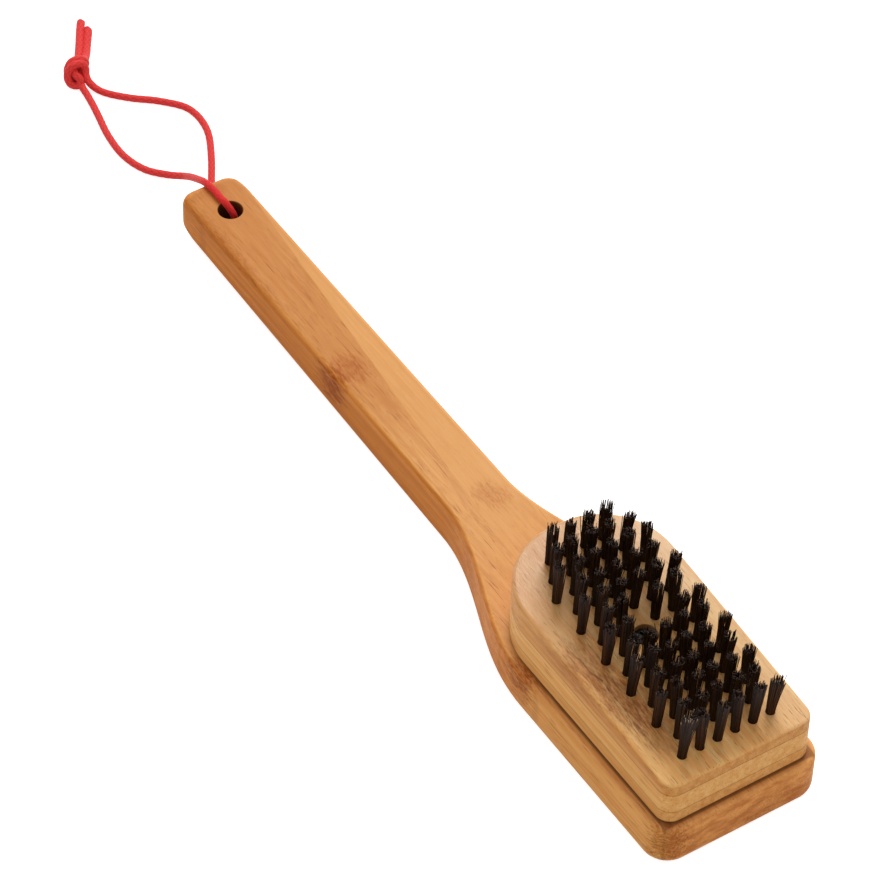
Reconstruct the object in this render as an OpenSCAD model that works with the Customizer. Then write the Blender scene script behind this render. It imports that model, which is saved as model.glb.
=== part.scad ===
// Bamboo grill brush lying on its back, bristles up.
// A flat paddle carries a wedge-shaped bristle block, held by one screw. A cord loop hangs
// from the hole at the end of the handle. All sizes are in millimetres. The handle points
// along -X and the head along +X, and the flat back of the head lies on z = 0.

/* [Paddle] */
// Length of the paddle, from the end of the handle to the end of the head
board_len = 302; // [280:1:340]
// Thickness of the paddle at its head
board_t = 16.6; // [14:0.1:20]
// Width of the head
head_w = 59.4; // [58:0.2:72]
// Length of the head's parallel sides, measured from its end
head_len = 73.3; // [64:0.5:86]
// Corner radius of the head, seen from above
head_corner_r = 8.6; // [6:0.2:16]
// Length over which the head narrows into the handle
neck_len = 70; // [50:1:95]
// Width of the handle where the neck starts
handle_w = 22.9; // [19:0.1:30]
// Width of the handle at its free end
handle_end_w = 21.2; // [18:0.1:30]
// Corner radius of the handle's free end, seen from above
handle_end_r = 5; // [5:0.2:8.5]
// Radius along the upper edges of the head
edge_top_r = 1.8; // [0.8:0.1:4.5]
// Radius along the lower edges of the head
edge_back_r = 4.4; // [1:0.1:5]
// Radius along the upper edges of the handle, which are crisp up to the end of the neck
grip_top_r = 2; // [0.6:0.1:5]
// Radius along the lower edges of the handle
grip_back_r = 1.6; // [0.6:0.1:5]
// Radius along the edges of the handle's free end, which is softened all round
end_edge_r = 4; // [2:0.1:4.2]

/* [Bristle block] */
// Length of the block
block_len = 98; // [88:1:112]
// Width of the block
block_w = 53; // [46:0.5:56]
// Height of the block at the end of the head
block_h = 16.7; // [12:0.1:22]
// Slope of the block's face, which rises towards the handle, in degrees
block_slope = 4.1; // [0:0.1:8]
// Radius of the block's two corners at the end of the head
block_corner_r = 5; // [2.5:0.5:10]
// Radius of the arch that faces the handle
block_arch_r = 24; // [18:0.5:26]
// Radius along the edge of the block's face
block_edge_r = 1.2; // [0.4:0.1:2.4]
// Width of the bevel round the block's foot, which leaves a fine groove at the seam
block_foot_bevel = 0.6; // [0.2:0.1:1]
// Distance from the end of the head to the block
block_setback = 3; // [1:0.1:6]

/* [Bristles] */
// Distance from one row of tufts to the next
row_pitch = 6.5; // [5.6:0.1:8]
// Distance between the tufts of a row
tuft_pitch = 6.3; // [5.6:0.1:8]
// Distance from the end of the block to its first row
first_row = 8.7; // [7:0.1:14]
// Least distance from the long sides of the block to a tuft's centre
side_margin = 10; // [6:0.5:14]
// Least distance from the arch to a tuft's centre
arch_margin = 8; // [6:0.5:12]
// Length of the bristles above the block
tuft_len = 16.6; // [10:0.2:28]
// Diameter of a tuft at its root, and of its hole
tuft_root_d = 3; // [2:0.1:4]
// Diameter of a tuft at its tips
tuft_tip_d = 4.2; // [3:0.1:5.4]
// Depth of a tuft's hole
tuft_hole_depth = 8; // [5:0.25:10]
// Thickness of the flat wire that anchors a tuft
anchor_t = 0.5; // [0.3:0.05:0.8]
// Height of the flat wire that anchors a tuft
anchor_h = 1.6; // [1:0.1:2.4]

/* [Screw] */
// Diameter of the screw's head
screw_head_d = 7.8; // [6:0.1:9]
// Height of the screw's head
screw_head_h = 2.2; // [1.4:0.1:3.2]
// Depth of the screw's head under the block's face
screw_sink = 0.6; // [0:0.1:2]
// Diameter of the screw's shank
screw_d = 4; // [3:0.1:5]
// Length of the shank inside the paddle
screw_bite = 9; // [6:0.5:11]
// Width of the cross-shaped recess
recess_w = 0.9; // [0.6:0.1:1.3]

/* [Hanging cord] */
// Diameter of the hole in the handle
hang_hole_d = 8; // [6:0.1:10]
// Distance from the end of the handle to the middle of the hole
hang_hole_inset = 15.8; // [12:0.1:30]
// Width of the bevel round the top of the hole
hang_hole_bevel = 0.3; // [0.3:0.1:1.2]
// Width of the bevel round the bottom of the hole, where the cord turns
hang_hole_back_bevel = 0.8; // [0.6:0.1:1.2]
// Diameter of the cord
cord_d = 2.2; // [1.6:0.1:2.3]
// Length of the knot
knot_len = 11.5; // [9:0.5:15]
// Diameter of the knot
knot_d = 8.4; // [6:0.2:8.4]

/* [Fits] */
// Clearance on the radius of a tuft or a shank in its hole
fit = 0.05; // [0.02:0.01:0.15]
// Free height left above the cord where it runs under the handle
cord_gap = 0.4; // [0.3:0.1:1.5]

/* [Hidden] */
rows = floor((block_len - first_row - arch_margin) / row_pitch) + 1;
function row_name(k) = str("tuft_row_", k < 9 ? "0" : "", k + 1);

// Places along the length
head_end = board_len / 2;
handle_end = -board_len / 2;
neck_head = head_end - head_len;
neck_handle = neck_head - neck_len;
block_end = head_end - block_setback;
arch_x = block_end - block_len + block_arch_r;
screw_x = block_end - block_len * 0.51;
hang_x = handle_end + hang_hole_inset;

// The back of the handle rises towards its end, so that the cord can pass under it
handle_lift = cord_d + cord_gap;

// Small sizes
sliver = 0.01;
through = 1;
tip_ragged = 1.1;
tip_dish = 1.6;

function bump(t) = t * t * (3 - 2 * t);
function clamp(t) = min(1, max(0, t));
function noise(k) = let (v = sin(k * 71.3 + 13) * 437.5) v - floor(v);

// Height of the block's face and of the paddle's back at a place along the length
function face_z(x) = board_t + block_h + (block_end - x) * tan(block_slope);
function back_z(x) = handle_lift * clamp((neck_handle - x) / (neck_handle - handle_end));

// Half width of the paddle along the neck
function neck_half(t) = (handle_w + (head_w - handle_w) * bump(t)) / 2;

// One side of the paddle seen from above, from the handle's end to the head's end
end_steps = 8;
soft_steps = 3;
neck_steps = 24;
corner_steps = 9;
side = concat(
    [for (i = [0:end_steps])
        let (a = 90 * i / end_steps)
        [handle_end + handle_end_r * (1 - cos(a)),
         handle_end_w / 2 - handle_end_r * (1 - sin(a))]],
    [for (i = [1:soft_steps])
        let (x = handle_end_r * (1 + i / soft_steps))
        [handle_end + x,
         (handle_end_w + (handle_w - handle_end_w) * x / (neck_handle - handle_end)) / 2]],
    [for (i = [0:neck_steps])
        let (t = i / neck_steps)
        [neck_handle + neck_len * t, neck_half(t)]],
    [for (i = [0:corner_steps])
        let (a = 90 * i / corner_steps)
        [head_end - head_corner_r * (1 - sin(a)),
         head_w / 2 - head_corner_r * (1 - cos(a))]]
);
last = len(side) - 1;

// Outward direction at each point of that side
function unit(v) = v / norm(v);
function outward(i) =
    i == 0 ? [-1, 0] :
    i == last ? [1, 0] :
    let (d = side[i + 1] - side[i - 1]) unit([-d[1], d[0]]);

// The layers of the paddle, each given by the side it belongs to, back 0 or top 1, and by the
// angle it has reached round the edge there. The edges of the handle are crisper than the head's.
edge_steps = 6;
layers = concat(
    [for (i = [0:edge_steps]) [0, 90 * i / edge_steps]],
    [for (i = [0:edge_steps]) [1, 90 * i / edge_steps]]
);
function headward(x) = bump(clamp((x - neck_head + neck_len * 0.5) / (neck_len * 0.5)));
function endward(x) = bump(clamp(1 - (x - handle_end) / (2 * handle_end_r)));
function edge_r(x, grip, head) =
    grip + (head - grip) * headward(x) + (end_edge_r - grip) * endward(x);
function top_r(x) = edge_r(x, grip_top_r, edge_top_r);
function back_r(x) = edge_r(x, grip_back_r, edge_back_r);

function layer_point(i, layer, hand) =
    let (
        top = layer[0] == 1,
        r = top ? top_r(side[i][0]) : back_r(side[i][0]),
        c = r * (1 - cos(layer[1])),
        s = r * (1 - sin(layer[1])),
        p = side[i] - outward(i) * (top ? c : s)
    )
    [p[0], hand * p[1], top ? board_t - s : back_z(p[0]) + c];

// A closed skin of rings, each ring running the same way round
function skin(rings, around) = [
    for (r = [0:rings - 2], i = [0:around - 1])
        let (a = r * around + i, b = r * around + (i + 1) % around)
        each [[a, b, b + around], [a, b + around, a + around]]
];

module paddle_body() {
    points = [for (layer = layers) each concat(
        [for (i = [0:last]) layer_point(i, layer, 1)],
        [for (i = [last:-1:0]) layer_point(i, layer, -1)]
    )];
    around = 2 * (last + 1);
    top = (len(layers) - 1) * around;
    caps = [for (i = [0:last - 1])
        let (j = around - 1 - i)
        each [
            [i, j, j - 1], [i, j - 1, i + 1],
            [top + i, top + i + 1, top + j - 1], [top + i, top + j - 1, top + j]
        ]];
    polyhedron(points, concat([for (f = skin(len(layers), around)) [f[0], f[2], f[1]]],
        [for (f = caps) [f[0], f[2], f[1]]]));
}

// Puts its children on the block's face, square to it
module on_face(x, y = 0) {
    translate([x, y, face_z(x)]) rotate([0, block_slope, 0]) children();
}

module handle_board() {
    color("peru") difference() {
        paddle_body();
        translate([hang_x, 0, -through]) cylinder(h = board_t + 2 * through, d = hang_hole_d, $fn = 48);
        translate([hang_x, 0, board_t - hang_hole_bevel])
            cylinder(h = hang_hole_bevel + sliver, d1 = hang_hole_d,
                d2 = hang_hole_d + 2 * (hang_hole_bevel + sliver), $fn = 48);
        translate([hang_x, 0, back_z(hang_x) - through])
            cylinder(h = hang_hole_back_bevel + through,
                d1 = hang_hole_d + 2 * (hang_hole_back_bevel + through), d2 = hang_hole_d, $fn = 48);
        screw_hole();
    }
}

// One side of the block seen from above: the arch that faces the handle, then the corner at
// the end of the head. Each point has the direction in which an inset draws it in.
arch_steps = 14;
block_side = concat(
    [for (i = [0:arch_steps])
        let (a = 90 * i / arch_steps)
        [arch_x, block_w / 2 - block_arch_r, block_arch_r, -cos(a), sin(a)]],
    [for (i = [corner_steps:-1:0])
        let (a = 90 * i / corner_steps)
        [block_end - block_corner_r, block_w / 2 - block_corner_r, block_corner_r, cos(a), sin(a)]]
);
function block_ring(inset, depth, foot = -1) =
    let (
        half = [for (p = block_side)
            [p[0] + (p[2] - inset) * p[3], p[1] + (p[2] - inset) * p[4]]],
        n = len(half) - 1,
        outline = concat(half, [for (i = [n:-1:0]) [half[i][0], -half[i][1]]])
    )
    [for (p = outline) [p[0], p[1], foot < 0 ? face_z(p[0]) - depth : board_t + foot]];

module block_body() {
    around = 2 * len(block_side);
    steps = 3;
    points = concat(
        block_ring(block_foot_bevel, 0, 0), block_ring(0, 0, block_foot_bevel),
        [for (i = [0:steps])
            let (a = 90 * i / steps)
            each block_ring(block_edge_r * (1 - cos(a)), block_edge_r * (1 - sin(a)))]
    );
    polyhedron(points, concat(
        [for (f = skin(steps + 3, around)) [f[0], f[2], f[1]]],
        [[for (i = [0:around - 1]) i]],
        [[for (i = [around - 1:-1:0]) (steps + 2) * around + i]]
    ));
}

// Places of the tufts of one row. Every second row is shifted by half a pitch. Tufts that
// would stand too near the sides, the arch or the screw are left out.
function row_x(k) = block_end - first_row - k * row_pitch;
function clear_of_arch(x, y) =
    x > arch_x ||
    norm([x - arch_x, max(0, abs(y) - (block_w / 2 - block_arch_r))]) <= block_arch_r - arch_margin;
function clear_of_screw(x, y) =
    norm([x - screw_x, y]) > screw_head_d / 2 + tuft_tip_d / 2;
function row_places(k) = let (
        x = row_x(k),
        shift = k % 2 == 0 ? 0.5 : 0,
        most = ceil(block_w / tuft_pitch / 2)
    )
    [for (j = [-most:most])
        let (y = (j + shift) * tuft_pitch)
        if (abs(y) <= block_w / 2 - side_margin && clear_of_arch(x, y) && clear_of_screw(x, y))
        [x, y]];

module tuft_holes() {
    for (k = [0:rows - 1], p = row_places(k))
        on_face(p[0], p[1]) translate([0, 0, -tuft_hole_depth])
            cylinder(h = tuft_hole_depth + through, d = tuft_root_d, $fn = 24);
}

head_depth = screw_head_h + screw_sink;
shank_len = (face_z(screw_x) - board_t) / cos(block_slope) - head_depth + screw_bite;
tip_len = screw_d;

module screw_hole() {
    on_face(screw_x) {
        translate([0, 0, -head_depth - shank_len])
            cylinder(h = shank_len + through, d = screw_d + 2 * fit, $fn = 32);
        translate([0, 0, -head_depth])
            cylinder(h = head_depth + through, d = screw_head_d + 4 * fit, $fn = 48);
    }
}

module brush_block() {
    color("burlywood") difference() {
        block_body();
        tuft_holes();
        screw_hole();
    }
}

// Pan head with a cross recess, a plain shank and a point, sunk into the block's face
module head_screw() {
    color("black") on_face(screw_x) translate([0, 0, -head_depth]) difference() {
        rotate_extrude($fn = 48) polygon([
            [0, -shank_len + fit],
            [screw_d / 2, -shank_len + tip_len],
            [screw_d / 2, 0],
            [screw_head_d / 2, 0],
            [screw_head_d / 2, screw_head_h * 0.35],
            [screw_head_d * 0.44, screw_head_h * 0.72],
            [screw_head_d * 0.28, screw_head_h],
            [0, screw_head_h]
        ]);
        for (turn = [0, 90])
            rotate([0, 0, turn + 20])
                translate([-screw_head_d * 0.27, -recess_w / 2, screw_head_h * 0.45])
                    cube([screw_head_d * 0.54, recess_w, screw_head_h]);
    }
}

// Flat wires wedged across the bottoms of the tuft holes
module tuft_anchors() {
    color("silver") for (k = [0:rows - 1], p = row_places(k))
        on_face(p[0], p[1]) translate([-anchor_t / 2, -tuft_root_d / 2 + 2 * fit, -tuft_hole_depth])
            cube([anchor_t, tuft_root_d - 4 * fit, anchor_h]);
}

// One tuft: straight in its hole, then flared to ragged tips, with a small lean of its own
tuft_sides = 12;
module tuft(seed) {
    root_r = tuft_root_d / 2 - fit;
    lean = [noise(seed) - 0.5, noise(seed + 3.7) - 0.5] * 1.6;
    spread = (tuft_tip_d / 2 - root_r) * (0.8 + 0.4 * noise(seed + 5.1));
    heights = [anchor_h - tuft_hole_depth, 0, tuft_len * 0.5, tuft_len];
    shares = [0, 0, 0.3, 1];
    rings = [for (r = [0:3], i = [0:tuft_sides - 1])
        let (
            a = 360 * i / tuft_sides,
            tip = r == 3 ? tip_ragged * (noise(seed + i * 1.9) - 0.7) : 0,
            wave = r == 3 ? 0.22 * (noise(seed + i * 2.3 + 8) - 0.5) : 0,
            w = root_r + spread * shares[r] + wave
        )
        [lean[0] * shares[r] + w * cos(a), lean[1] * shares[r] + w * sin(a), heights[r] + tip]];
    middle = [lean[0], lean[1], tuft_len - tip_dish];
    top = 3 * tuft_sides;
    polyhedron(
        concat(rings, [middle]),
        concat(
            [for (f = skin(4, tuft_sides)) [f[0], f[2], f[1]]],
            [for (i = [1:tuft_sides - 2]) [0, i, i + 1]],
            [for (i = [0:tuft_sides - 1]) [top + i, 4 * tuft_sides, top + (i + 1) % tuft_sides]]
        )
    );
}

module tuft_row(k) {
    places = row_places(k);
    color([0.10, 0.07, 0.06]) for (i = [0:len(places) - 1])
        on_face(places[i][0], places[i][1]) tuft(k * 17 + i * 5);
}

// Route of the cord, from the knot over the end of the handle, down through the hole, and
// back under the handle to the knot. Places are measured from the hole's middle.
lie = 1.1;
rest = board_t + lie + 0.1;
knot_at = [-93.6, -3, 4.25];
knot_turn = -31;
route = [
    [-93.4, -3.6, 3.6], [-89.6, -3.8, 2], [-85, -4, lie], [-80, -4.8, lie],
    [-74.6, -5.9, lie], [-69.2, -7, lie], [-63.9, -8.1, lie], [-58.4, -8.8, lie],
    [-53.1, -8.5, lie], [-48.4, -7.5, lie], [-44.2, -5.9, lie], [-40.6, -3.6, lie],
    [-37.4, -0.8, 1.3], [-34.6, 1, 2.4], [-31.6, 1.8, 4.2], [-28.2, 2, 6.6],
    [-24.2, 1.9, 9.4], [-20.2, 1.5, 12.1], [-16.8, 1, 14.7], [-14.8, 0.5, 17],
    [-12, -0.1, rest - 0.05], [-8.8, -0.4, rest], [-5.6, -0.5, rest], [-3, -0.2, rest - 0.3],
    [-1.2, 0.5, 15.8], [0.1, 1.1, 13.8], [0.9, 1.5, 11.4], [1.1, 1.6, 8.8],
    [0.8, 1.4, 6.3], [-0.6, 1.2, 4], [-3.2, 1.1, 2.3], [-6.6, 1.2, 1.35],
    [-11, 1.9, lie], [-16, 3.5, lie], [-21, 5.9, lie], [-26.2, 8.8, lie],
    [-31.5, 11.9, lie], [-36.6, 15.1, lie], [-42.1, 18.2, lie], [-47.4, 20.6, lie],
    [-53, 22, lie], [-58.4, 22.1, lie], [-63, 20.8, lie], [-66.9, 18, lie],
    [-70.2, 14.7, lie], [-73.3, 11.2, lie], [-76.1, 7.7, lie], [-79, 4.4, lie],
    [-82.8, 1.7, lie], [-86.4, 0, 1.4], [-89.8, -1.1, 2.9], [-92.4, -1.6, 5.4]
];
tail_long = [
    [-95.8, -1.4, 3.6], [-99.6, 1.2, 2.6], [-103.4, 3.7, 1.5], [-107.6, 6.3, lie],
    [-112.4, 9.3, lie], [-118, 13, lie]
];
tail_short = [
    [-95.2, 0.3, 5.4], [-98.6, 3.2, 3.6], [-102.2, 5.8, 2], [-105.9, 8.2, lie],
    [-109.3, 10.4, lie], [-113.1, 12.9, lie]
];

function along(path, i) =
    unit(path[min(len(path) - 1, i + 1)] - path[max(0, i - 1)]);

module at_hole() {
    translate([hang_x, 0, 0]) children();
}

// A round tube along a path, with a ring at each of its points
cord_sides = 8;
module cord_along(path) {
    turn = 360 / cord_sides;
    r = cord_d / 2 / cos(turn / 2) * 0.96;
    points = [for (i = [0:len(path) - 1], s = [0:cord_sides - 1])
        let (
            t = along(path, i),
            u = unit(cross(t, [0, 1, 0])),
            v = cross(t, u),
            a = turn * (s + 0.5)
        )
        path[i] + r * (cos(a) * u + sin(a) * v)];
    end = (len(path) - 1) * cord_sides;
    polyhedron(points, concat(
        [for (f = skin(len(path), cord_sides)) [f[0], f[2], f[1]]],
        [[for (s = [0:cord_sides - 1]) s]],
        [[for (s = [cord_sides - 1:-1:0]) end + s]]
    ));
}

// Outer shape of the knot: three turns of the doubled cord side by side
module cord_knot() {
    turn_w = knot_len / 3;
    color("red") at_hole() translate(knot_at) rotate([0, 0, knot_turn]) rotate([0, 90, 0])
        rotate_extrude($fn = 32) difference() {
            union() {
                for (i = [-1:1])
                    translate([knot_d / 2 - turn_w / 2 - abs(i) * 0.5, i * turn_w * 0.88])
                        circle(d = turn_w, $fn = 24);
                translate([0, -knot_len * 0.42])
                    square([knot_d / 2 - turn_w / 2, knot_len * 0.84]);
            }
            translate([-knot_d, -knot_len]) square([knot_d, 2 * knot_len]);
        }
}

handle_board();
brush_block();
head_screw();
tuft_anchors();
for (k = [0:rows - 1])
    tuft_row(k);
color("red") at_hole() cord_along(route);  // hang_cord
cord_knot();
color("red") at_hole() cord_along(tail_long);  // cord_tail_long
color("red") at_hole() cord_along(tail_short);  // cord_tail_short
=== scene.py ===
# Bamboo grill brush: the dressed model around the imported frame, in metres.
# The paddle lies along X with its head at +X, and the bristles point up.
import math
import random

import bmesh
import bpy
from mathutils import Matrix, Vector


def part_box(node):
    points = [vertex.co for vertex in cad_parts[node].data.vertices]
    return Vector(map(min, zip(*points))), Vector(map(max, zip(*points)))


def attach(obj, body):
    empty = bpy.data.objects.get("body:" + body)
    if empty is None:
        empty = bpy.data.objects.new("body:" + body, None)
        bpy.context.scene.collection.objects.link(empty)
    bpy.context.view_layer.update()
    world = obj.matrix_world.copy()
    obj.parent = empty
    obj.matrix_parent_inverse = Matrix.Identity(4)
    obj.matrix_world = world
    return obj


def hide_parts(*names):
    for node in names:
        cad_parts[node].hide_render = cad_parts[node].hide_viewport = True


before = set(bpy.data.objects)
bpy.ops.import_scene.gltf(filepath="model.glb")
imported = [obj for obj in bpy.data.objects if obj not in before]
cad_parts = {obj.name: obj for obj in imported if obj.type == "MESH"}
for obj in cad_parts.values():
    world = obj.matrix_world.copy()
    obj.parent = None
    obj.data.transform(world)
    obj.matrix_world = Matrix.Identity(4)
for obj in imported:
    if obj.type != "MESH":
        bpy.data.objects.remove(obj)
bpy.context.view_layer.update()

MM = 0.001


# Camera, at the photograph's viewing angle
CAMERA_AT = (0.850155, -0.601164, 1.150796)
CAMERA_RIGHT = (0.5471149, 0.8365957, 0.0278031)
CAMERA_UP = (-0.6235490, 0.3851778, 0.6803122)
CAMERA_BACK = (0.5584371, -0.3895455, 0.7323949)
CAMERA_LENS = 204.55


def set_camera():
    data = bpy.data.cameras.new("view")
    data.sensor_width = 36
    data.lens = CAMERA_LENS
    data.clip_end = 20
    camera = bpy.data.objects.new("view", data)
    turn = Matrix((CAMERA_RIGHT, CAMERA_UP, CAMERA_BACK)).transposed().to_4x4()
    camera.matrix_world = Matrix.Translation(CAMERA_AT) @ turn
    bpy.context.scene.collection.objects.link(camera)
    bpy.context.scene.camera = camera


# Small helpers for materials
def from_screen(red, green, blue):
    """A colour given as it looks on a screen, 0 to 255, as the linear colour that a shader takes."""
    def linear(value):
        value /= 255
        return value / 12.92 if value <= 0.04045 else ((value + 0.055) / 1.055) ** 2.4
    return (linear(red), linear(green), linear(blue), 1)


class Finish:
    """A material's nodes, added one at a time and wired by name."""

    def __init__(self, name):
        self.material = bpy.data.materials.new(name)
        self.material.use_nodes = True
        self.tree = self.material.node_tree
        self.tree.nodes.clear()
        self.output = self.tree.nodes.new("ShaderNodeOutputMaterial")

    def add(self, kind, settings=None, **sockets):
        node = self.tree.nodes.new("ShaderNode" + kind)
        for key, value in (settings or {}).items():
            setattr(node, key, value)
        for key, value in sockets.items():
            name = key.replace("_", " ")
            index = int(name[1:]) if name[0] == "i" and name[1:].isdigit() else name
            socket = node.inputs[index]
            if isinstance(value, bpy.types.NodeSocket):
                self.tree.links.new(value, socket)
            else:
                socket.default_value = value
        return node

    def math(self, operation, first, second=0.0, third=0.0):
        return self.add("Math", {"operation": operation}, i0=first, i1=second, i2=third).outputs[0]

    def smooth(self, value, low, high, start=0.0, end=1.0):
        """Rises smoothly from start to end as value goes from low to high."""
        return self.add("MapRange", {"interpolation_type": "SMOOTHSTEP"}, Value=value, From_Min=low,
                        From_Max=high, To_Min=start, To_Max=end).outputs[0]

    def mix(self, share, first, second):
        """Goes from the first colour to the second as share goes from 0 to 1."""
        return self.add("Mix", {"data_type": "RGBA"}, i0=share, i6=first, i7=second).outputs[2]

    def place(self):
        """Object coordinates in millimetres, whole and as x, y and z."""
        coords = self.add("TexCoord").outputs["Object"]
        scaled = self.add("VectorMath", {"operation": "SCALE"}, i0=coords, Scale=1 / MM).outputs[0]
        split = self.add("SeparateXYZ", i0=scaled)
        return scaled, split.outputs[0], split.outputs[1], split.outputs[2]

    def stretched(self, vector, along, across, up, shift=(0, 0, 0)):
        return self.add("Mapping", i0=vector, Location=shift, Scale=(along, across, up)).outputs[0]

    def noise(self, vector, scale=1.0, detail=2.0, rough=0.5, bend=0.0):
        return self.add("TexNoise", Vector=vector, Scale=scale, Detail=detail, Roughness=rough,
                        Distortion=bend).outputs[0]

    def blob(self, vector, centre, reach, edge=0.0):
        """1 at centre, falling to 0 at the ellipsoid with the half sizes reach. edge breaks its rim."""
        away = self.add("VectorMath", {"operation": "SUBTRACT"}, i0=vector, i1=centre).outputs[0]
        part = self.add("VectorMath", {"operation": "DIVIDE"}, i0=away, i1=reach).outputs[0]
        far = self.add("VectorMath", {"operation": "LENGTH"}, i0=part).outputs["Value"]
        return self.smooth(self.math("ADD", far, edge), 1.0, 0.35)

    def surface(self, **sockets):
        shader = self.add("BsdfPrincipled", **sockets)
        self.tree.links.new(shader.outputs[0], self.output.inputs[0])
        return self.material


# Places on the paddle and the block, in millimetres. HOLE_X is the middle of the hanging hole. The
# block's sloped face is where z plus x times the slope comes to FACE_LINE, and the two seams are the
# heights at which its three plies meet.
BOARD_LOW, BOARD_HIGH = (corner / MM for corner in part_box("handle_board"))
BLOCK_LOW, BLOCK_HIGH = (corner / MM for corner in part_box("brush_block"))
BOARD_TOP = BOARD_HIGH.z
HOLE_INSET = 15.8
HOLE_X = BOARD_LOW.x + HOLE_INSET
HOLE_R = 4
FACE_SLOPE = math.radians(4.1)
FACE_LINE = 43.7
LOWER_SEAM, UPPER_SEAM = 21.6, 29.1

# Bamboo. Fibres run along X. The board is glued up from strips 20 mm wide in three layers, and
# each strip has its own tone. Where a stem had a joint, a strip shows a short rusty mark.
BOARD_STRIP = 20
BOARD_SEAM = -2.3
BOARD_SLANT = 0.086
BOARD_LAYER = 5.55
BLOCK_STRIP = 18
BLOCK_SEAM = 5.0
BLOCK_SLANT = 0.02
BLOCK_LAYER = 5.6

# Marks in the bamboo: the centre of each and its half sizes, in millimetres, and its strength
BOARD_MARKS = [
    ((-55.0, -5.2, BOARD_TOP), (9.0, 7.5, 3.0), 0.7),  # the stem's joint on the handle
    ((-56.5, -11.0, 12.0), (10.0, 4.5, 10.0), 1.0),  # the same joint down the handle's side
    ((12.7, 2.8, BOARD_TOP), (8.0, 6.5, 3.0), 0.45),  # a faint joint on the neck
    ((-146.3, -0.8, BOARD_TOP), (6.0, 9.0, 6.0), 0.35),  # a darker patch under the cord where it crosses the free end
    ((-124.0, -10.0, BOARD_TOP), (42.0, 3.6, 3.0), 0.45),  # a streak along the handle's edge
    ((77.5, -27.5, 13.5), (11.0, 6.0, 9.0), 0.9),  # a joint on the head's side
    ((149.5, -25.5, 11.0), (10.0, 8.0, 11.0), 0.7),  # the near corner
    ((150.7, 14.0, 5.0), (7.0, 20.0, 9.0), 0.4),  # the end of the head, low down
]
BLOCK_MARKS = [
    ((99.0, -20.0, 36.6), (16.0, 8.0, 5.0), 0.6),
    ((115.0, -19.0, 35.5), (17.0, 10.0, 5.0), 0.75),
    ((128.0, -17.0, 34.8), (14.0, 8.0, 5.0), 0.5),
    ((96.0, -26.4, 34.5), (22.0, 3.5, 5.0), 0.4),
]


def bamboo_fibres(m, vector):
    """Long streaks, fine fibres and the short dark dashes of cut vessels, each from 0 to 1."""
    streaks = m.noise(m.stretched(vector, 0.011, 0.5, 0.5), detail=5, rough=0.6)
    fibres = m.noise(m.stretched(vector, 0.04, 1.9, 1.9), detail=5, rough=0.7)
    dashes = m.noise(m.stretched(vector, 0.12, 2.1, 2.1, (3.1, 7.7, 1.9)), detail=2.5)
    return m.smooth(streaks, 0.3, 0.7), m.smooth(fibres, 0.32, 0.68), m.smooth(dashes, 0.60, 0.70)


def torn(m, vector, strength):
    """A fibrous shift for the rim of a mark, so that it frays along the grain."""
    coarse = m.noise(m.stretched(vector, 0.16, 0.9, 0.9), detail=5, rough=0.75)
    return m.math("MULTIPLY_ADD", coarse, strength, -strength / 2)


def strip_tone(m, number, storey):
    """A tone from 0 to 1 for each strip. number counts strips across, and storey counts layers up."""
    cell = m.add("CombineXYZ", X=m.math("FLOOR", number), Y=m.math("FLOOR", storey)).outputs[0]
    return m.add("TexWhiteNoise", {"noise_dimensions": "3D"}, Vector=cell).outputs["Value"]


def glue_line(m, count, size):
    """1 along the fine line where strips or layers of that size meet."""
    near = m.math("ABSOLUTE", m.math("SUBTRACT", m.math("FRACT", count), 0.5))
    return m.smooth(near, 0.5 - 0.22 / size, 0.5 - 0.04 / size)


def stained(m, honey, vector, rim, mottle, stain, marks):
    """Lays the stain over honey at each mark. rim breaks its edge, and mottle its middle."""
    for centre, reach, strength in marks:
        mark = m.math("MULTIPLY", m.blob(vector, centre, reach, rim), mottle)
        honey = m.mix(m.math("MULTIPLY", mark, strength), honey, stain)
    return honey


def pores(m, fibres, dashes, strength):
    """A slight relief of fibres with the cut vessels sunk in."""
    grain = m.math("MULTIPLY_ADD", dashes, -0.6, fibres)
    return m.add("Bump", Strength=strength, Distance=0.0004, Height=grain).outputs[0]


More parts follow.
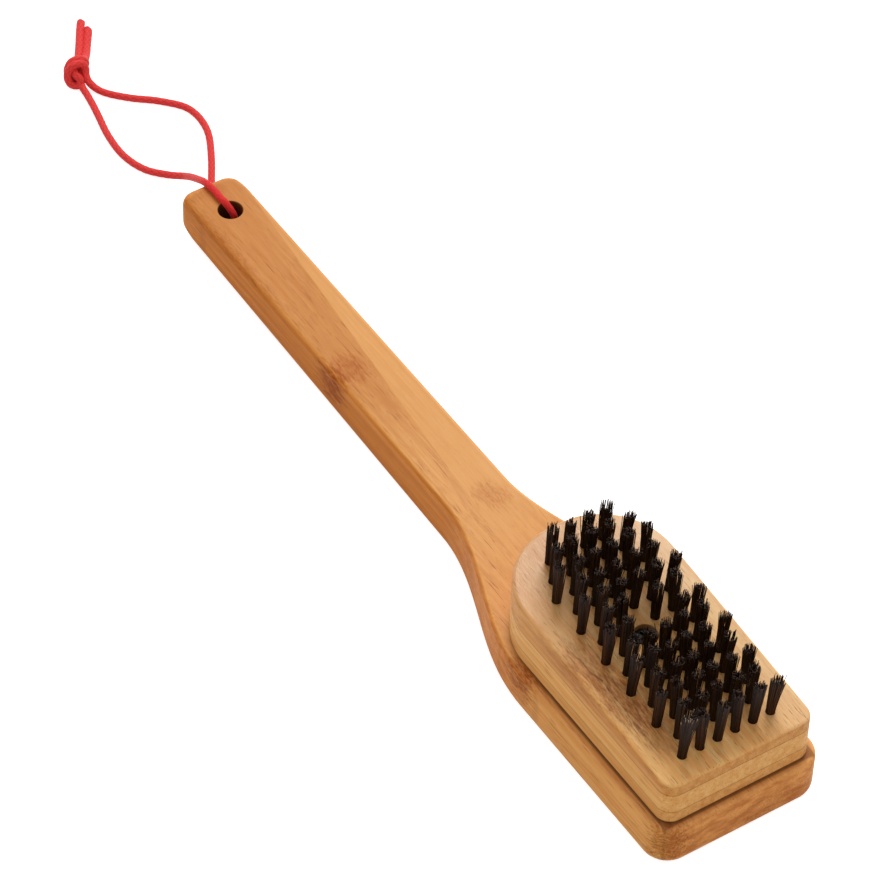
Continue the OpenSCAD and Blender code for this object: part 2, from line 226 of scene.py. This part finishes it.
def bamboo_board():
    m = Finish("oiled bamboo board")
    vector, x, y, z = m.place()
    streaks, fibres, dashes = bamboo_fibres(m, vector)
    across = m.math("MULTIPLY_ADD", x, BOARD_SLANT, y)
    number = m.math("DIVIDE", m.math("SUBTRACT", across, BOARD_SEAM), BOARD_STRIP)
    storey = m.math("DIVIDE", z, BOARD_LAYER)
    tone = strip_tone(m, number, storey)
    # The strip along one side of the handle's top is smoother and paler than the one beside it
    top = m.smooth(z, BOARD_TOP - 1.7, BOARD_TOP - 0.6)
    right_of_seam = m.smooth(across, BOARD_SEAM - 0.3, BOARD_SEAM)
    pale_strip = m.math("MULTIPLY", m.math("MULTIPLY", right_of_seam, top), m.smooth(x, 60, 0))
    deep_strip = m.math("MULTIPLY", m.math("SUBTRACT", 1.0, right_of_seam), m.smooth(x, -10, -60))

    honey = m.mix(streaks, from_screen(220, 146, 70), from_screen(250, 182, 102))
    honey = m.mix(m.math("MULTIPLY", fibres, 0.35), honey, from_screen(202, 126, 60))
    honey = m.mix(m.smooth(tone, 0, 1, 0.0, 0.14), honey, from_screen(242, 184, 118))
    honey = m.mix(m.math("MULTIPLY", pale_strip, 0.7), honey, from_screen(244, 178, 104))
    honey = m.mix(m.math("MULTIPLY", deep_strip, 0.5), honey, from_screen(210, 134, 62))
    # Painted light: the handle is a deeper orange towards its free end and paler at the neck, a painted
    # fall-off of the sheen over the neck
    honey = m.mix(m.smooth(x, -60, -150, 0.0, 0.4), honey, from_screen(208, 132, 60))
    honey = m.mix(m.smooth(x, -50, 20, 0.0, 0.5), honey, from_screen(252, 188, 118))
    # A brown figure in the grain, faint on the pale strip
    figure = m.stretched(vector, 0.07, 0.45, 0.45, (5.3, 2.1, 0.7))
    figure = m.smooth(m.noise(figure, detail=6, rough=0.75, bend=0.6), 0.42, 0.66)
    figure = m.math("MULTIPLY", figure, m.math("MULTIPLY_ADD", pale_strip, -0.28, 0.4))
    honey = m.mix(figure, honey, from_screen(196, 118, 50))
    # The sides of the board are darker and browner than its top, and most of all along the handle:
    # partly their own browner colour, partly painted shade
    brown = m.mix(streaks, from_screen(202, 116, 42), from_screen(228, 144, 66))
    pale_side = m.mix(streaks, from_screen(232, 160, 82), from_screen(252, 188, 112))
    brown = m.mix(m.smooth(x, 64, 88, 0.0, 0.85), brown, pale_side)
    end_grain = m.noise(m.stretched(vector, 0.3, 0.12, 0.4), detail=4, rough=0.65)
    end_grain = m.smooth(end_grain, 0.35, 0.65)
    end_tone = m.mix(end_grain, from_screen(204, 122, 60), from_screen(246, 170, 96))
    brown = m.mix(m.smooth(x, BOARD_HIGH.x - 2.5, BOARD_HIGH.x - 0.5), brown, end_tone)
    honey = m.mix(m.smooth(z, BOARD_TOP - 0.15, BOARD_TOP - 0.7, 0.0, 0.92), honey, brown)
    dark = m.math("MULTIPLY", dashes, m.math("MULTIPLY_ADD", pale_strip, -0.5, 0.6))
    honey = m.mix(dark, honey, from_screen(164, 92, 36))
    lines = m.math("MAXIMUM", glue_line(m, number, BOARD_STRIP), glue_line(m, storey, BOARD_LAYER))
    honey = m.mix(m.math("MULTIPLY", lines, 0.2), honey, from_screen(150, 84, 38))

    mottle = m.noise(m.stretched(vector, 0.45, 1.5, 1.5), detail=5, rough=0.75)
    mottle = m.smooth(mottle, 0.35, 0.6, 0.3, 1.0)
    rust = m.mix(fibres, from_screen(192, 98, 18), from_screen(150, 66, 4))
    rust = m.mix(top, from_screen(146, 64, 6), rust)
    honey = stained(m, honey, vector, torn(m, vector, 2.6), mottle, rust, BOARD_MARKS)
    # Painted shade darkens the board along the foot of the block
    seam_shade = m.smooth(m.math("ABSOLUTE", y), BLOCK_HIGH.y + 1.0, BLOCK_HIGH.y + 0.1)
    seam_shade = m.math("MULTIPLY", seam_shade, m.smooth(x, 76, 84))
    seam_shade = m.math("MULTIPLY", seam_shade, m.smooth(x, BLOCK_HIGH.x + 1.2, BLOCK_HIGH.x + 0.2, 0.0, 0.7))
    honey = m.mix(seam_shade, honey, from_screen(120, 60, 20))
    # Painted shade darkens the wall of the hanging hole
    in_hole = m.add("CombineXYZ", X=m.math("SUBTRACT", x, HOLE_X), Y=y).outputs[0]
    in_hole = m.add("VectorMath", {"operation": "LENGTH"}, i0=in_hole).outputs["Value"]
    hole_shade = m.smooth(in_hole, HOLE_R + 0.3, HOLE_R + 0.1, 0.0, 0.9)
    honey = m.mix(hole_shade, honey, from_screen(74, 34, 14))
    rough = m.smooth(fibres, 0.0, 1.0, 0.38, 0.55)
    level = m.smooth(z, BOARD_TOP - 1.4, BOARD_TOP - 0.2, 0.03, 0.16)
    return m.surface(Base_Color=honey, Roughness=rough, Specular_IOR_Level=level,
                     Normal=pores(m, fibres, dashes, 0.12))


def bamboo_block():
    m = Finish("oiled bamboo block")
    vector, x, y, z = m.place()
    streaks, fibres, dashes = bamboo_fibres(m, vector)
    across = m.math("MULTIPLY_ADD", x, BLOCK_SLANT, y)
    number = m.math("DIVIDE", m.math("SUBTRACT", across, BLOCK_SEAM), BLOCK_STRIP)
    tone = strip_tone(m, number, m.math("DIVIDE", z, BLOCK_LAYER))
    # Three plies: the middle one is the palest and the top one the brownest
    light = m.mix(streaks, from_screen(240, 170, 94), from_screen(255, 202, 128))
    brown = m.mix(streaks, from_screen(188, 108, 44), from_screen(226, 150, 76))
    honey = m.mix(m.smooth(z, UPPER_SEAM - 0.2, UPPER_SEAM + 0.2, 0.0, 0.55), light, brown)
    honey = m.mix(m.smooth(z, LOWER_SEAM + 0.2, LOWER_SEAM - 0.2, 0.0, 0.35), honey, brown)
    face = m.mix(streaks, from_screen(242, 168, 92), from_screen(255, 205, 132))
    face = m.mix(m.smooth(x, 110, 50, 0.0, 0.7), face, from_screen(206, 150, 96))
    # Towards its far side the face is painted paler, a painted glare
    face = m.mix(m.smooth(y, 6, 24, 0.0, 0.5), face, from_screen(255, 222, 174))
    height = m.math("MULTIPLY_ADD", x, math.tan(FACE_SLOPE), z)
    on_face = m.smooth(height, FACE_LINE - 0.7, FACE_LINE)
    honey = m.mix(on_face, honey, face)
    honey = m.mix(m.math("MULTIPLY", fibres, 0.24), honey, from_screen(184, 116, 56))
    honey = m.mix(m.smooth(tone, 0, 1, 0.0, 0.15), honey, from_screen(232, 172, 108))
    honey = m.mix(m.math("MULTIPLY", dashes, 0.5), honey, from_screen(140, 80, 38))
    for seam in (LOWER_SEAM, UPPER_SEAM):
        line = m.smooth(m.math("ABSOLUTE", m.math("SUBTRACT", z, seam)), 0.3, 0.05, 0.0, 0.55)
        honey = m.mix(line, honey, from_screen(138, 78, 36))

    # A band of broken brown fibre with one fine dark crack runs along the near part of the face
    mottle = m.noise(m.stretched(vector, 0.3, 1.2, 1.2), detail=5, rough=0.7)
    mottle = m.smooth(mottle, 0.3, 0.65, 0.3, 1.0)
    umber = from_screen(142, 62, 12)
    honey = stained(m, honey, vector, torn(m, vector, 1.8), mottle, umber, BLOCK_MARKS)
    wander = m.noise(m.stretched(vector, 0.05, 0.02, 0.0), detail=5, rough=0.55)
    crack = m.math("ABSOLUTE", m.math("SUBTRACT", y, m.math("MULTIPLY_ADD", wander, 7.0, -24.5)))
    crack = m.math("MULTIPLY", m.smooth(crack, 0.4, 0.1, 0.0, 0.7), mottle)
    for fade in (on_face, m.smooth(x, 90, 98), m.smooth(x, 138, 130)):
        crack = m.math("MULTIPLY", crack, fade)
    honey = m.mix(crack, honey, from_screen(104, 48, 16))
    # Painted shade darkens the foot of the block in the seam against the board
    seam_shade = m.smooth(z, BLOCK_LOW.z + 1.1, BLOCK_LOW.z + 0.5, 0.0, 0.95)
    honey = m.mix(seam_shade, honey, from_screen(84, 36, 10))

    # The oil has built up a shine near the arch
    shine = m.math("MULTIPLY", m.smooth(x, 112, 58), on_face)
    rough = m.math("MULTIPLY_ADD", shine, -0.14, m.smooth(fibres, 0.0, 1.0, 0.36, 0.5))
    level = m.math("MULTIPLY_ADD", shine, 0.34, m.math("MULTIPLY_ADD", on_face, 0.1, 0.05))
    return m.surface(Base_Color=honey, Roughness=rough, Specular_IOR_Level=level,
                     Normal=pores(m, fibres, dashes, 0.15))


def dark_bristle():
    m = Finish("dark bristle")
    vector = m.place()[0]
    tone = m.add("Attribute", {"attribute_name": "tone"}).outputs["Fac"]
    streak = m.noise(m.stretched(vector, 6, 6, 0.6), detail=2)
    colour = m.mix(tone, from_screen(20, 10, 5), from_screen(82, 44, 20))
    colour = m.mix(m.smooth(streak, 0.4, 0.7, 0.0, 0.4), colour, from_screen(34, 18, 8))
    # A tone past 1 paints a pale glint on a tip, a painted highlight
    colour = m.mix(m.smooth(tone, 1.1, 2.0), colour, from_screen(196, 176, 152))
    rough = m.smooth(streak, 0.3, 0.7, 0.35, 0.55)
    return m.surface(Base_Color=colour, Roughness=rough, Specular_IOR_Level=0.22)


def red_braid():
    """Braided cord. The map u runs along the cord in millimetres and v once round it."""
    m = Finish("red braided cord")
    split = m.add("SeparateXYZ", i0=m.add("UVMap", {"uv_map": "along"}).outputs[0])
    u, v = split.outputs[0], split.outputs[1]
    turns = m.math("MULTIPLY", v, BRAID_STRANDS)
    pitch = m.math("DIVIDE", u, BRAID_PITCH)
    right = m.math("ADD", turns, pitch)
    left = m.math("SUBTRACT", turns, pitch)
    over = m.math("PINGPONG", m.math("ADD", m.math("FLOOR", right), m.math("FLOOR", left)), 1)
    across = m.mix(over, m.math("FRACT", right), m.math("FRACT", left))
    crown = m.math("SINE", m.math("MULTIPLY", across, math.pi))
    wound = m.add("CombineXYZ", X=m.math("MULTIPLY", u, 2.0), Y=m.math("MULTIPLY", v, 30)).outputs[0]
    yarn = m.noise(wound, detail=3, rough=0.6)
    # The braid is painted darker in the dips between strands, a painted shade, and paler on their
    # crowns
    colour = m.mix(m.smooth(crown, 0.0, 0.8), from_screen(200, 34, 36), from_screen(232, 56, 52))
    colour = m.mix(m.smooth(yarn, 0.35, 0.75, 0.0, 0.3), colour, from_screen(242, 78, 68))
    # The stretch in and beside the hanging hole is a deeper red
    colour = m.mix(m.smooth(u, 30, 14, 0.0, 0.6), colour, from_screen(218, 20, 18))
    height = m.math("MULTIPLY_ADD", yarn, 0.35, crown)
    bump = m.add("Bump", Strength=0.4, Distance=0.00012, Height=height).outputs[0]
    return m.surface(Base_Color=colour, Roughness=0.62, Normal=bump, Specular_IOR_Level=0.25,
                     Sheen_Weight=0.06)


def black_steel():
    m = Finish("black coated steel")
    vector = m.place()[0]
    wear = m.noise(vector, scale=1.4, detail=4, rough=0.7)
    colour = m.mix(m.smooth(wear, 0.5, 0.75), from_screen(26, 23, 21), from_screen(66, 60, 55))
    rough = m.smooth(wear, 0.3, 0.7, 0.34, 0.55)
    bump = m.add("Bump", Strength=0.2, Distance=0.0001, Height=wear).outputs[0]
    return m.surface(Base_Color=colour, Roughness=rough, Normal=bump, Metallic=0.7)


def anchor_wire():
    m = Finish("flat anchor wire")
    vector = m.place()[0]
    drawn = m.noise(m.stretched(vector, 1, 1, 8), detail=3)
    colour = m.mix(drawn, from_screen(150, 150, 148), from_screen(205, 205, 200))
    return m.surface(Base_Color=colour, Roughness=m.smooth(drawn, 0.2, 0.8, 0.3, 0.5), Metallic=1.0)


# Pieces
def show(mesh, name, material, slot, *nodes):
    piece = bpy.data.objects.new(name, mesh)
    bpy.context.scene.collection.objects.link(piece)
    mesh.materials.clear()
    mesh.materials.append(material)
    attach(piece, "root")
    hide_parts(*nodes)
    return piece


def finished(bm, name, sharp=None):
    """Turns a bmesh into a smooth mesh. Edges that turn by more than sharp degrees stay crisp."""
    for face in bm.faces:
        face.smooth = True
    if sharp is not None:
        for edge in bm.edges:
            edge.smooth = len(edge.link_faces) == 2 and edge.calc_face_angle(0) < math.radians(sharp)
    mesh = bpy.data.meshes.new(name)
    bm.to_mesh(mesh)
    bm.free()
    return mesh


def carved(node, name, material, slot, sharp):
    """A copy of a CAD node with its edges merged and shaded smooth."""
    bm = bmesh.new()
    bm.from_mesh(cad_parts[node].data)
    bmesh.ops.remove_doubles(bm, verts=bm.verts, dist=0.002 * MM)
    piece = show(finished(bm, name, sharp), name, material, slot, node)
    weighted = piece.modifiers.new("even shading", "WEIGHTED_NORMAL")
    weighted.keep_sharp = True
    weighted.weight = 80


# Cord. Places are in millimetres, measured from the middle of the hanging hole along x and y.
# LIE is the height of its middle where it lies on the floor, and TOP where it lies on the handle.
# The braid stands at least BRAID_FLOOR and at most BRAID_RELIEF more above the plain round cord.
CORD_D = 2.2
CORD_SIDES = 30
CORD_STEP = 0.35
BRAID_STRANDS = 6
BRAID_PITCH = 2.6
BRAID_FLOOR = 0.04
BRAID_RELIEF = 0.09
LIE = 1.26
TOP = 17.8
KNOT_AT = Vector((-93.6, -3, 4.4))
KNOT_TURN = math.radians(-31)
TAILWARD = Vector((-math.cos(KNOT_TURN), -math.sin(KNOT_TURN), 0))
HOLE_MIDDLE = [(1.1, 1.6, 8.8)]
OVER_THE_END = [
    (0.1, 1.1, 13.8), (-1.2, 0.5, 15.8), (-3, -0.2, TOP - 0.3), (-5.6, -0.5, TOP), (-8.8, -0.4, TOP),
    (-12, -0.6, TOP - 0.1), (-14.4, -0.6, 17.1), (-16.6, -0.3, 15.9), (-19.4, 0.2, 13.9),
    (-22.8, 0.8, 11.4), (-27, 1.4, 8.3), (-31.6, 1.8, 4.7),
    (-37.4, -0.8, 1.8), (-44.2, -5.9, LIE), (-53.1, -8.5, LIE), (-63.9, -8.1, LIE), (-74.6, -5.9, LIE),
    (-80, -4.8, LIE), (-85, -4, LIE), (-89, -3.7, 1.9),
]
UNDER_THE_END = [
    (0.8, 1.4, 6.3), (-0.6, 1.2, 4), (-3.2, 1.1, 2.3), (-6.6, 1.2, 1.35), (-16, 3.5, LIE),
    (-26.2, 8.8, LIE), (-36.6, 15.1, LIE), (-47.4, 20.6, LIE), (-53, 22, LIE), (-58.4, 22.1, LIE),
    (-63, 20.8, LIE), (-70.2, 14.7, LIE), (-76.1, 7.7, LIE), (-82.8, 1.7, LIE), (-86.4, 0, 1.4),
    (-89.4, -1.0, 2.7),
]
LONG_TAIL = [
    (-99.6, 1.2, 2.8), (-103.4, 3.6, 2), (-107.6, 6.3, 1.6), (-112.4, 9.3, 1.5), (-117.6, 12.7, 1.5),
]
SHORT_TAIL = [
    (-98.6, 3.1, 3.5), (-102.2, 5.7, 2), (-105.9, 8.1, 1.5), (-109, 10.2, 1.5), (-112, 12.3, 1.5),
]

# The two strands inside the knot, measured from its middle: towards the tails, across, and up
FIRST_STRAND = [
    (-2.3, 1.3, -1.7), (-0.2, 0.9, -1.0), (1.9, 1.0, -1.4), (3.4, 2.2, -1.2), (3.9, 3.0, 0.5),
    (3.4, 2.3, 2.4), (2.8, 0.5, 3.2), (1.9, -1.6, 2.9), (0.9, -2.9, 1.1), (-0.2, -2.9, -1.1),
    (-1.0, -1.4, -2.6), (-1.0, 0.6, -2.9), (-0.1, 2.0, -2.1), (1.5, 1.6, -0.6), (3.2, 0.4, 0.0),
    (5.0, 0.4, -0.6),
]
SECOND_STRAND = [
    (-0.8, 3.1, -0.4), (0.5, 3.0, 1.1), (1.1, 2.0, 2.7), (0.5, 0.4, 3.3), (-0.4, -1.5, 3.0),
    (-1.4, -2.8, 1.4), (-2.4, -3.0, -0.5), (-3.2, -2.1, -2.3), (-3.6, -0.2, -2.95), (-3.6, 1.2, -2.2),
    (-2.8, 1.2, -0.8), (-1.6, -0.4, 0.4), (0.2, -0.9, 1.0), (2.4, 0.4, 1.3), (4.6, 1.9, 1.0),
]


def in_knot(points):
    """Places inside the knot, turned round to be measured from the hole as the route is."""
    across = Vector((-math.sin(KNOT_TURN), math.cos(KNOT_TURN), 0))
    return [KNOT_AT + along * TAILWARD + side * across + Vector((0, 0, up))
            for along, side, up in points]


def smooth_route(points, step):
    """Points about step apart on one smooth curve through all the given ones, and its length."""
    points = [Vector(p) for p in points]
    ends = [2 * points[0] - points[1]] + points + [2 * points[-1] - points[-2]]
    fine = [points[0]]
    for before, start, end, after in zip(ends, ends[1:], ends[2:], ends[3:]):
        pairs = ((before, start), (start, end), (end, after))
        gaps = [max(1e-6, (q - p).length ** 0.5) for p, q in pairs]
        lean_out = ((start - before) / gaps[0] - (end - before) / (gaps[0] + gaps[1])
                    + (end - start) / gaps[1]) * gaps[1]
        lean_in = ((end - start) / gaps[1] - (after - start) / (gaps[1] + gaps[2])
                   + (after - end) / gaps[2]) * gaps[1]
        for i in range(1, 17):
            t = i / 16
            fine.append((2 * t**3 - 3 * t**2 + 1) * start + (t**3 - 2 * t**2 + t) * lean_out
                        + (3 * t**2 - 2 * t**3) * end + (t**3 - t**2) * lean_in)
    length = sum((q - p).length for p, q in zip(fine, fine[1:]))
    count = round(length / step)
    spaced, gone, nth = [fine[0]], 0.0, 1
    for p, q in zip(fine, fine[1:]):
        part = (q - p).length
        while nth < count and gone + part >= nth * length / count:
            spaced.append(p.lerp(q, (nth * length / count - gone) / part))
            nth += 1
        gone += part
    return spaced + [fine[-1]], length


def braid_height(along, around):
    """The crown of the strand that lies uppermost there, from 0 to 1."""
    right = around * BRAID_STRANDS + along / BRAID_PITCH
    left = around * BRAID_STRANDS - along / BRAID_PITCH
    across = left if (math.floor(right) + math.floor(left)) % 2 else right
    return math.sin(math.pi * (across % 1))


def swell(place):
    """How much fuller the braid is there: a little in the knot, and more in the slack ends past it."""
    past = (place - KNOT_AT - Vector((HOLE_X, 0, 0))).dot(TAILWARD)
    knotted = min(1.0, max(0.0, (past + 5.5) / 2.5))
    slack = min(1.0, max(0.0, (past - 5) / 6))
    return 0.08 * knotted + 0.12 * slack


def braided_tube(route, length, cut):
    """A tube bent from a flat grid along the route. cut shapes its last rings."""
    bm = bmesh.new()
    uv = bm.loops.layers.uv.new("along")
    rows = len(route) + 1
    bmesh.ops.create_grid(bm, x_segments=rows, y_segments=CORD_SIDES, size=0.5)
    directions = [(route[min(i + 1, len(route) - 1)] - route[max(i - 1, 0)]).normalized()
                  for i in range(len(route))]
    side = directions[0].orthogonal().normalized()
    sides = []
    for direction in directions:
        side = (side - side.dot(direction) * direction).normalized()
        sides.append(side)
    step = length / (len(route) - 1)
    for vert in bm.verts:
        row = round((vert.co.x + 0.5) * rows)
        around = vert.co.y + 0.5
        nth = min(max(row - 1, 0), len(route) - 1)
        along = nth * step
        for loop in vert.link_loops:
            loop[uv].uv = (along, around)
        relief = BRAID_FLOOR + BRAID_RELIEF * braid_height(along, around % 1)
        radius = (CORD_D / 2 + relief) * (1 + swell(route[nth]))
        angle = 2 * math.pi * around
        direction = directions[nth]
        out = math.cos(angle) * sides[nth] + math.sin(angle) * direction.cross(sides[nth])
        if row in (0, rows):
            radius = 0.0
        radius, shift = cut(radius, angle, length - along, row == rows)
        vert.co = (route[nth] + out * radius + direction * shift) * MM
    bmesh.ops.remove_doubles(bm, verts=bm.verts, dist=0.0005 * MM)
    bmesh.ops.recalc_face_normals(bm, faces=bm.faces)
    return bm


# The two ways the cord ends. left is how far there is to go, and centre is true for the last point.
def frayed(radius, angle, left, centre):
    """A plain cut, rounded and a little ragged over its last 1.6 mm."""
    if centre:
        return 0.0, 0.25
    if left < 1.6:
        radius *= 1 + 0.12 * math.sin(3 * angle) * (1 - left / 1.6)
        radius *= math.sqrt(max(0.1, 1 - (1 - min(1, left)) ** 2))
    return radius, 0.0


def melted(radius, angle, left, centre):
    """A cut with a hard rim, 1.8 mm longer on one side than on the other."""
    slant = 0.9 * math.cos(angle) * max(0.0, 1 - left / 3.0)
    return radius, slant


def cord_half(name, start, strand, tail, cut, material, nodes):
    shift = Vector((HOLE_X, 0, 0))
    points = HOLE_MIDDLE + start + in_knot(strand) + tail
    route, length = smooth_route([Vector(p) + shift for p in points], CORD_STEP)
    piece = show(finished(braided_tube(route, length, cut), name), name, material, "cord", *nodes)


# Bristles. Each tuft's root and tip are read from its solid in the frame.
FILAMENTS = 84
FILAMENT_R = 0.155
GOLDEN_ANGLE = 2.39996
FACE_UP = Vector((math.sin(FACE_SLOPE), 0, math.cos(FACE_SLOPE)))
FACE_ALONG = Vector((math.cos(FACE_SLOPE), 0, -math.sin(FACE_SLOPE)))
FACE_ACROSS = Vector((0, 1, 0))
TUFT_LENGTH = 16.6
TUFT_R = 1.32
TUFT_HOLE_DEPTH = 8
ANCHOR_HEIGHT = 1.6
ROOT_DEPTH = 2.0

# How much the filaments of one tuft differ from each other, in millimetres. The tips of stray ones
# scatter STRAY times as far. The shares say how many are stray, and how many are cut short or long.
TIP_SCATTER = 0.16
LENGTH_SCATTER = 0.5
CLUMP_PULL = 0.35
CLUMP_LENGTH = 1.8
STRAY = 4.0
STRAY_SHARE = 0.07
TANGLED_STRAY_SHARE = 0.5
ODD_LENGTH_SHARE = 0.05


def tufts_of(node):
    """The lower end of each tuft, in its hole, and the middle of its tips, in millimetres."""
    bm = bmesh.new()
    bm.from_mesh(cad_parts[node].data)
    bmesh.ops.remove_doubles(bm, verts=bm.verts, dist=0.002 * MM)
    left, found = set(bm.verts), []
    while left:
        island, front = set(), [left.pop()]
        while front:
            vert = front.pop()
            island.add(vert)
            for edge in vert.link_edges:
                other = edge.other_vert(vert)
                if other in left:
                    left.discard(other)
                    front.append(other)
        lowest = min(v.co.dot(FACE_UP) for v in island)
        highest = max(v.co.dot(FACE_UP) for v in island)
        bottom = [v.co for v in island if v.co.dot(FACE_UP) < lowest + 0.2 * MM]
        top = [v.co for v in island if v.co.dot(FACE_UP) > highest - 2.5 * MM]
        base = sum(bottom, Vector()) / len(bottom) / MM
        tips = sum(top, Vector()) / len(top) / MM
        found.append((base, tips))
    bm.free()
    found.sort(key=lambda pair: pair[0].y)
    return found


def filament_form():
    """One filament of unit length and radius, with four sides and three rings between its ends."""
    bm = bmesh.new()
    bmesh.ops.create_cone(bm, cap_ends=True, segments=4, radius1=1, radius2=0.78, depth=1)
    bmesh.ops.translate(bm, verts=bm.verts, vec=(0, 0, 0.5))
    for height in (0.3, 0.6, 0.85):
        geometry = bm.verts[:] + bm.edges[:] + bm.faces[:]
        bmesh.ops.bisect_plane(bm, geom=geometry, plane_co=(0, 0, height), plane_no=(0, 0, 1))
    return bm


def bristle_row(node, name, material, seed):
    """The tufts of one row. In the first row the far one is worn down and the near one tangled."""
    draw = random.Random(seed)
    form = filament_form()
    pattern = bpy.data.meshes.new("filament")
    form.to_mesh(pattern)
    form.free()
    count = len(pattern.vertices)
    bm = bmesh.new()
    tone_layer = bm.verts.layers.float.new("tone")
    tufts = tufts_of(node)
    for place, (base, tips) in enumerate(tufts):
        root = base + FACE_UP * (TUFT_HOLE_DEPTH - ANCHOR_HEIGHT)
        lean = tips - root
        lean -= FACE_UP * lean.dot(FACE_UP)
        flare = draw.uniform(1.2, 1.42)
        worn = node.endswith("_01") and place == len(tufts) - 1
        tangled = node.endswith("_01") and place == 0
        stray_share = TANGLED_STRAY_SHARE if tangled else STRAY_SHARE
        if worn:
            flare, lean = 1.6, lean + FACE_ACROSS * 0.7 + FACE_ALONG * 0.4
        if tangled:
            flare, lean = 1.35, lean + FACE_ACROSS * 0.9
        clumps = [(draw.uniform(0, 2 * math.pi), draw.uniform(0.1, 1.0)) for _ in range(6)]
        for i in range(FILAMENTS):
            away = math.sqrt((i + 0.5) / FILAMENTS) * TUFT_R
            angle = i * GOLDEN_ANGLE + draw.uniform(-0.2, 0.2)
            side = FACE_ALONG * math.cos(angle) + FACE_ACROSS * math.sin(angle)
            clump = min(clumps, key=lambda c: abs((angle - c[0] + math.pi) % (2 * math.pi) - math.pi))
            pull = FACE_ALONG * math.cos(clump[0]) + FACE_ACROSS * math.sin(clump[0])
            stray = STRAY if draw.random() <= stray_share else 1.0
            tip = (root + side * away * flare + pull * CLUMP_PULL * clump[1] + lean
                   + FACE_ALONG * draw.gauss(0, TIP_SCATTER) * stray
                   + FACE_ACROSS * draw.gauss(0, TIP_SCATTER) * stray)
            tall = TUFT_LENGTH - abs(draw.gauss(0, LENGTH_SCATTER)) + CLUMP_LENGTH * (clump[1] - 0.65)
            if draw.random() < ODD_LENGTH_SHARE:
                tall -= draw.uniform(0.5, 3.0)
            if draw.random() < ODD_LENGTH_SHARE:
                tall += draw.uniform(0.3, 1.0)
            if tangled:
                tall += 1.2
            bow = side * draw.uniform(-0.12, 0.22)
            tone = draw.random() ** 2.2
            bm.from_mesh(pattern)
            bm.verts.ensure_lookup_table()
            for vert in bm.verts[-count:]:
                share = vert.co.z
                middle = (root + side * away).lerp(tip, share ** 1.35) + bow * math.sin(math.pi * share)
                ring = (FACE_ALONG * vert.co.x + FACE_ACROSS * vert.co.y) * FILAMENT_R
                height = -ROOT_DEPTH + (tall + ROOT_DEPTH) * share
                vert.co = (middle + ring + FACE_UP * height) * MM
                # A tone of 2 paints glints on the tips of every fifth filament of the tangled tuft
                vert[tone_layer] = 2.0 if tangled and i % 5 == 0 and share > 0.9 else tone
    bpy.data.meshes.remove(pattern)
    show(finished(bm, name, 50), name, material, "bristle", node)


# Stage
WORLD_LIGHT = 0.58
KEY_LIGHT = 19.0
FLOOR_GLOW = 0.78


def soft_box(name, at, size, watts):
    data = bpy.data.lights.new(name, "AREA")
    data.shape = "DISK"
    data.size = size
    data.energy = watts
    lamp = bpy.data.objects.new(name, data)
    lamp.matrix_world = Matrix.Translation(at) @ Vector(at).to_track_quat("Z", "Y").to_matrix().to_4x4()
    bpy.context.scene.collection.objects.link(lamp)


def seen_directly(tree):
    """1 for what the camera, a reflection or glass sees, and 0 for the light that falls on things."""
    path = tree.nodes.new("ShaderNodeLightPath")
    total = path.outputs["Is Camera Ray"]
    for name in ("Is Glossy Ray", "Is Transmission Ray"):
        node = tree.nodes.new("ShaderNodeMath")
        node.operation = "MAXIMUM"
        tree.links.new(total, node.inputs[0])
        tree.links.new(path.outputs[name], node.inputs[1])
        total = node.outputs[0]
    return total


def set_floor():
    m = Finish("pale floor")
    shade = m.mix(m.noise(m.place()[0], scale=0.02), (0.80, 0.80, 0.80, 1), (0.82, 0.82, 0.82, 1))
    floor = m.add("BsdfDiffuse", Color=shade)
    glow = m.add("Emission", Color=(1, 1, 1, 1),
                 Strength=m.math("MULTIPLY", seen_directly(m.tree), FLOOR_GLOW))
    both = m.add("AddShader", i0=floor.outputs[0], i1=glow.outputs[0])
    m.tree.links.new(both.outputs[0], m.output.inputs[0])
    bm = bmesh.new()
    bmesh.ops.create_grid(bm, x_segments=4, y_segments=4, size=4)
    bmesh.ops.translate(bm, verts=bm.verts, vec=(0, 0, -0.05 * MM))
    mesh = bpy.data.meshes.new("floor")
    bm.to_mesh(mesh)
    bm.free()
    mesh.materials.append(m.material)
    floor_piece = bpy.data.objects.new("floor", mesh)
    bpy.context.scene.collection.objects.link(floor_piece)


def set_light():
    world = bpy.data.worlds.new("studio")
    world.use_nodes = True
    tree = world.node_tree
    sky = tree.nodes["Background"]
    sky.inputs["Color"].default_value = (1, 1, 1, 1)
    strength = tree.nodes.new("ShaderNodeMapRange")
    tree.links.new(seen_directly(tree), strength.inputs["Value"])
    strength.inputs["To Min"].default_value = WORLD_LIGHT
    strength.inputs["To Max"].default_value = 1.0
    tree.links.new(strength.outputs[0], sky.inputs["Strength"])
    bpy.context.scene.world = world
    soft_box("high soft light", (-0.82, 0.76, 1.53), 1.3, KEY_LIGHT)
    bpy.context.scene.view_settings.view_transform = "Standard"


set_camera()
set_floor()
set_light()

braid = red_braid()
cord_half("cord_over_the_end", OVER_THE_END, FIRST_STRAND, LONG_TAIL, frayed, braid,
          ("hang_cord", "cord_tail_long"))
cord_half("cord_under_the_end", UNDER_THE_END, SECOND_STRAND, SHORT_TAIL, melted, braid,
          ("cord_knot", "cord_tail_short"))

carved("handle_board", "paddle", bamboo_board(), "board_wood", 32)
carved("brush_block", "bristle_block", bamboo_block(), "block_wood", 38)
carved("head_screw", "block_screw", black_steel(), "screw_steel", 28)

bristle = dark_bristle()
rows = sorted(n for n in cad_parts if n.startswith("tuft_row_"))
for nth, row in enumerate(rows):
    bristle_row(row, "bristles_" + row[-2:], bristle, 100 + nth)

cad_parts["tuft_anchors"].data.materials.clear()
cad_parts["tuft_anchors"].data.materials.append(anchor_wire())
